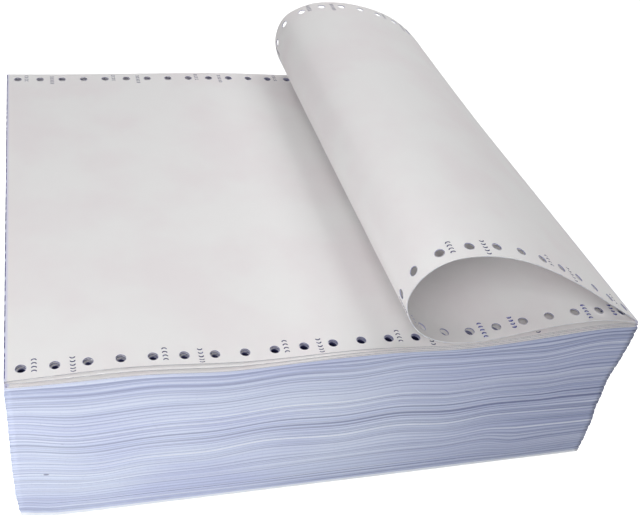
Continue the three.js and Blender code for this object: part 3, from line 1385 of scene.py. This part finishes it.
@dataclass(frozen=True)
class Crimps:
    """Columns of small pressed teeth that hold the plies together along both feed strips.

    A tooth is a tongue of paper in a horseshoe-shaped cut, which pressure has coloured.
    """

    form: Form
    web: LooseWeb
    side: Side
    pages: tuple[int, ...]
    columns: tuple[CrimpColumn, ...] = (
        CrimpColumn(11.3, 4, -0.9, math.pi), CrimpColumn(25.9, 5, 0.6, 0)
    )
    period: float = 50.8
    pitch: float = 1.95
    cut_size: tuple[float, float] = (1.12, 0.86)
    tongue_size: tuple[float, float] = (0.66, 0.3)
    mouth: float = 0.2
    segments: int = 14
    cut_height: float = 0.02
    tongue_height: float = 0.09
    tongue_round: float = 0.08
    stand_off: float = 0.005

    def cut(self) -> bmesh.types.BMesh:
        """Makes the horseshoe of one tooth.

        Returns:
            Its mesh, flat at the origin.
        """
        bm = bmesh.new()
        for size in (self.cut_size, self.tongue_size):
            shape = Matrix.Diagonal((*size, 1, 1))
            bmesh.ops.create_circle(bm, segments=self.segments, radius=1, matrix=shape)
        bmesh.ops.bridge_loops(bm, edges=bm.edges[:])
        open_end = [f for f in bm.faces if f.calc_center_median().y > self.mouth]
        bmesh.ops.delete(bm, geom=open_end, context="FACES")
        thicken(bm, self.cut_height)
        return bm

    def tongue(self) -> bmesh.types.BMesh:
        """Makes the tongue of one tooth.

        Returns:
            Its mesh, flat at the origin and rounded at its upper edge.
        """
        bm = bmesh.new()
        shape = Matrix.Diagonal((*self.tongue_size, 1, 1))
        bmesh.ops.create_circle(
            bm, cap_ends=True, segments=self.segments, radius=1, matrix=shape
        )
        thicken(bm, self.tongue_height)
        top = [e for e in bm.edges if min(v.co.z for v in e.verts) > self.tongue_height / 2]
        bmesh.ops.bevel(
            bm,
            geom=top,
            offset=self.tongue_round,
            affect="EDGES",
            segments=2,
            profile=0.5,
            material=-1,
        )
        return bm

    def places(self) -> Iterable[tuple[float, float, float]]:
        """Finds the place of each tooth.

        Returns:
            For each tooth, its (x, y) on the flat web and its turn.
        """
        for page in self.pages:
            for column in self.columns:
                count = int((self.form.length - column.place) // self.period) + 1
                for i in range(count):
                    x = (page + 1) * self.form.length - column.place - i * self.period
                    for row in (self.form.hole_inset, self.form.width - self.form.hole_inset):
                        for tooth in range(column.teeth):
                            step = (tooth - (column.teeth - 1) / 2) * self.pitch
                            yield x, row - column.forward + step, column.turn

    def spread(self, bm: bmesh.types.BMesh, height: float) -> bmesh.types.BMesh:
        """Copies a tooth's mesh to every tooth's place on this side of the flat web.

        Args:
            bm: The mesh of one tooth, which becomes the mesh of all.
            height: The tooth's height.

        Returns:
            The same mesh.
        """
        level = self.form.set_thickness / 2 + self.stand_off
        if self.side is Side.BACK:
            turn = Matrix.Translation((0, 0, height)) @ Matrix.Rotation(math.pi, 4, "X")
            bmesh.ops.transform(bm, matrix=turn, verts=bm.verts[:])
            level = -level - height
        tooth = everything(bm)
        for x, y, turn in self.places():
            place = Matrix.Translation((x, y, level)) @ Matrix.Rotation(turn, 4, "Z")
            copy_to(bm, tooth, place)
        bmesh.ops.delete(bm, geom=verts_of(tooth))
        return bm

    def build(
        self, placement: Placement, ink: bpy.types.Material, paper: bpy.types.Material
    ) -> list[bpy.types.Object]:
        """Makes the cuts and the tongues of this side.

        Args:
            placement: Moves the pile into the frame.
            ink: The material of the cuts.
            paper: The material of the tongues.

        Returns:
            The two pieces.
        """
        side = self.side.name.lower()
        pieces = []
        for name, bm, height, material in (
            ("crimp_cuts", self.cut(), self.cut_height, ink),
            ("crimp_tongues", self.tongue(), self.tongue_height, paper),
        ):
            teeth = self.spread(bm, height)
            place = self.web.place
            pieces.append(finish_piece(f"{name}_{side}", teeth, place, placement, [material]))
        return pieces


@dataclass(frozen=True)
class Lamp:
    """A square soft lamp, with its place and size in metres and its power in watts."""

    name: str
    place: Triple
    size: float
    power: float

    def shine(self, aim: Triple) -> None:
        """Adds the lamp.

        Args:
            aim: The point that it faces.
        """
        data = bpy.data.lights.new(self.name, "AREA")
        data.size, data.energy = self.size, self.power
        lamp = bpy.data.objects.new(self.name, data)
        lamp.location = self.place
        ray = Vector(aim) - Vector(self.place)
        lamp.rotation_euler = ray.to_track_quat("-Z", "Y").to_euler()
        bpy.context.collection.objects.link(lamp)


@dataclass(frozen=True)
class Studio:
    """The camera of the photograph, a pale floor and plain soft light."""

    placement: Placement
    eye: Triple = (15.0, -223.49, 338.78)
    yaw: float = 19.01
    pitch: float = 37.13
    roll: float = -9.53
    focal_pixels: float = 839.1
    image: tuple[int, int] = (640, 517)
    centre_pixel: tuple[float, float] = (265.0, 225.0)
    sensor: float = 36.0
    clip: tuple[float, float] = (0.01, 50)
    lamps: tuple[Lamp, ...] = (
        Lamp("top_lamp", (0.5, 0.15, 1.15), 0.7, 4.9),
        Lamp("back_lamp", (0, 0.6, 1.2), 0.8, 2.5),
        Lamp("near_lamp", (-0.25, -0.5, 0.55), 0.3, 1.6),
        Lamp("low_lamp", (-0.42, -0.5, 0.2), 0.3, 1.35),
        Lamp("left_lamp", (-1, 0, 0.6), 0.6, 0.45),
        Lamp("rear_lamp", (0.25, 1, 0.12), 0.3, 3.2),
    )
    aim: Triple = (0, 0, 0.06)
    world_light: float = 0.08
    floor_reach: float = 6
    floor_drop: float = 0.0002
    floor_shade: float = 0.86
    floor_glow: float = 0.75

    def camera(self) -> None:
        """Places the camera as the photograph's was."""
        yaw, pitch, roll = (math.radians(a) for a in (self.yaw, self.pitch, self.roll))
        forward = Vector(
            (math.sin(yaw) * math.cos(pitch), math.cos(yaw) * math.cos(pitch), -math.sin(pitch))
        )
        level = Vector((math.cos(yaw), -math.sin(yaw), 0))
        down = forward.cross(level)
        right = math.cos(roll) * level + math.sin(roll) * down
        lower = -math.sin(roll) * level + math.cos(roll) * down
        width, height = self.image
        data = bpy.data.cameras.new("camera")
        data.sensor_width = self.sensor
        data.lens = self.focal_pixels / width * self.sensor
        data.shift_x = (width / 2 - self.centre_pixel[0]) / width
        data.shift_y = (self.centre_pixel[1] - height / 2) / width
        data.clip_start, data.clip_end = self.clip
        camera = bpy.data.objects.new("camera", data)
        place = Matrix.Translation(self.placement.to_frame(np.array(self.eye)))
        turn = Matrix((right, -lower, -forward)).transposed()
        camera.matrix_world = place @ turn.to_4x4()
        bpy.context.collection.objects.link(camera)
        bpy.context.scene.camera = camera

    def camera_sees(self, tree: bpy.types.NodeTree) -> Socket:
        """Tells the rays that show the background: straight, mirrored or refracted.

        Args:
            tree: The nodes that need to know.

        Returns:
            A value of 1 for those rays.
        """
        path = tree.nodes.new("ShaderNodeLightPath")
        total = path.outputs["Is Camera Ray"]
        for name in ("Is Glossy Ray", "Is Transmission Ray"):
            add = tree.nodes.new("ShaderNodeMath")
            add.operation, add.use_clamp = "ADD", True
            tree.links.new(total, add.inputs[0])
            tree.links.new(path.outputs[name], add.inputs[1])
            total = add.outputs["Value"]
        return total

    def world(self) -> None:
        """Surrounds the pile with even light, and shows white behind it."""
        world = bpy.data.worlds.new("studio")
        world.use_nodes = True
        tree = world.node_tree
        strength = tree.nodes.new("ShaderNodeMapRange")
        strength.inputs["To Min"].default_value = self.world_light
        strength.inputs["To Max"].default_value = 1
        tree.links.new(self.camera_sees(tree), strength.inputs["Value"])
        background = tree.nodes["Background"]
        background.inputs["Color"].default_value = (1, 1, 1, 1)
        tree.links.new(strength.outputs["Result"], background.inputs["Strength"])
        bpy.context.scene.world = world
        bpy.context.scene.view_settings.view_transform = "Standard"

    def floor(self) -> None:
        """Lays a pale floor that takes the pile's shadow and shows as nearly white."""
        bm = bmesh.new()
        bmesh.ops.create_grid(bm, x_segments=1, y_segments=1, size=self.floor_reach)
        mesh = bpy.data.meshes.new("floor")
        bm.to_mesh(mesh)
        bm.free()
        floor = bpy.data.objects.new("floor", mesh)
        floor.location.z = -self.floor_drop
        bpy.context.collection.objects.link(floor)
        shader = Shader.new("floor", roughness=1, specular=0)
        surface, tree = shader.surface, shader.material.node_tree
        surface.inputs["Base Color"].default_value = (*[self.floor_shade] * 3, 1)
        surface.inputs["Emission Color"].default_value = (1, 1, 1, 1)
        glow = shader.times(self.camera_sees(tree), self.floor_glow)
        shader.link(glow, surface.inputs["Emission Strength"])
        mesh.materials.append(shader.material)

    def build(self) -> None:
        """Sets up the camera, the lamps, the world and the floor."""
        self.camera()
        for lamp in self.lamps:
            lamp.shine(self.aim)
        self.world()
        self.floor()


def report(piece: bpy.types.Object) -> None:
    """Logs a piece's name and its number of triangles."""
    piece.data.calc_loop_triangles()
    LOG.info("%s: %d triangles", piece.name, len(piece.data.loop_triangles))


def main() -> None:
    """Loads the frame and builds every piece."""
    logging.basicConfig(level=logging.INFO, format="%(message)s")
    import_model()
    form = Form()
    settling = Settling(form)
    web = LooseWeb(form, settling, Curl(form, settling))
    pile = FoldedPile(form, settling)
    placement = Placement.from_frame()
    Studio(placement).build()

    page = PageFinish(form).make()
    edge = PlyEdgeFinish(form).make()
    # the hole rims' walls: their blue, and the painted shade that they darken to with depth
    rim_colours = srgb(168, 170, 200), srgb(104, 106, 160)
    rim = BoreFinish("hole_rim", form.set_thickness, *rim_colours).make()
    bore = BoreFinish("bore_wall", pile.height).make()
    cut_edges = CutEdgeFinish(pile.leaf).make()
    fold_sides = FoldSideFinish().make()
    strong = CrimpFinish("crimp_strong", srgb(46, 48, 140), srgb(138, 142, 206), 0.6).make()
    faint = CrimpFinish("crimp_faint", srgb(36, 36, 92), srgb(160, 162, 204), 0.66).make()
    pressed = CrimpFinish("crimp_pressed", srgb(96, 100, 186), srgb(214, 216, 238), 0.45).make()

    pieces = [pile.build(placement, [page, cut_edges, fold_sides, bore])]
    for ply in Ply:
        pieces.append(LoosePages(form, web, ply).build(placement, [page, edge, rim]))
    pieces += Crimps(form, web, Side.BACK, pages=(0,)).build(placement, strong, pressed)
    pieces += Crimps(form, web, Side.FACE, pages=(0, 1)).build(placement, faint, page)
    for piece in pieces:
        report(piece)


if __name__ == "__main__":
    main()
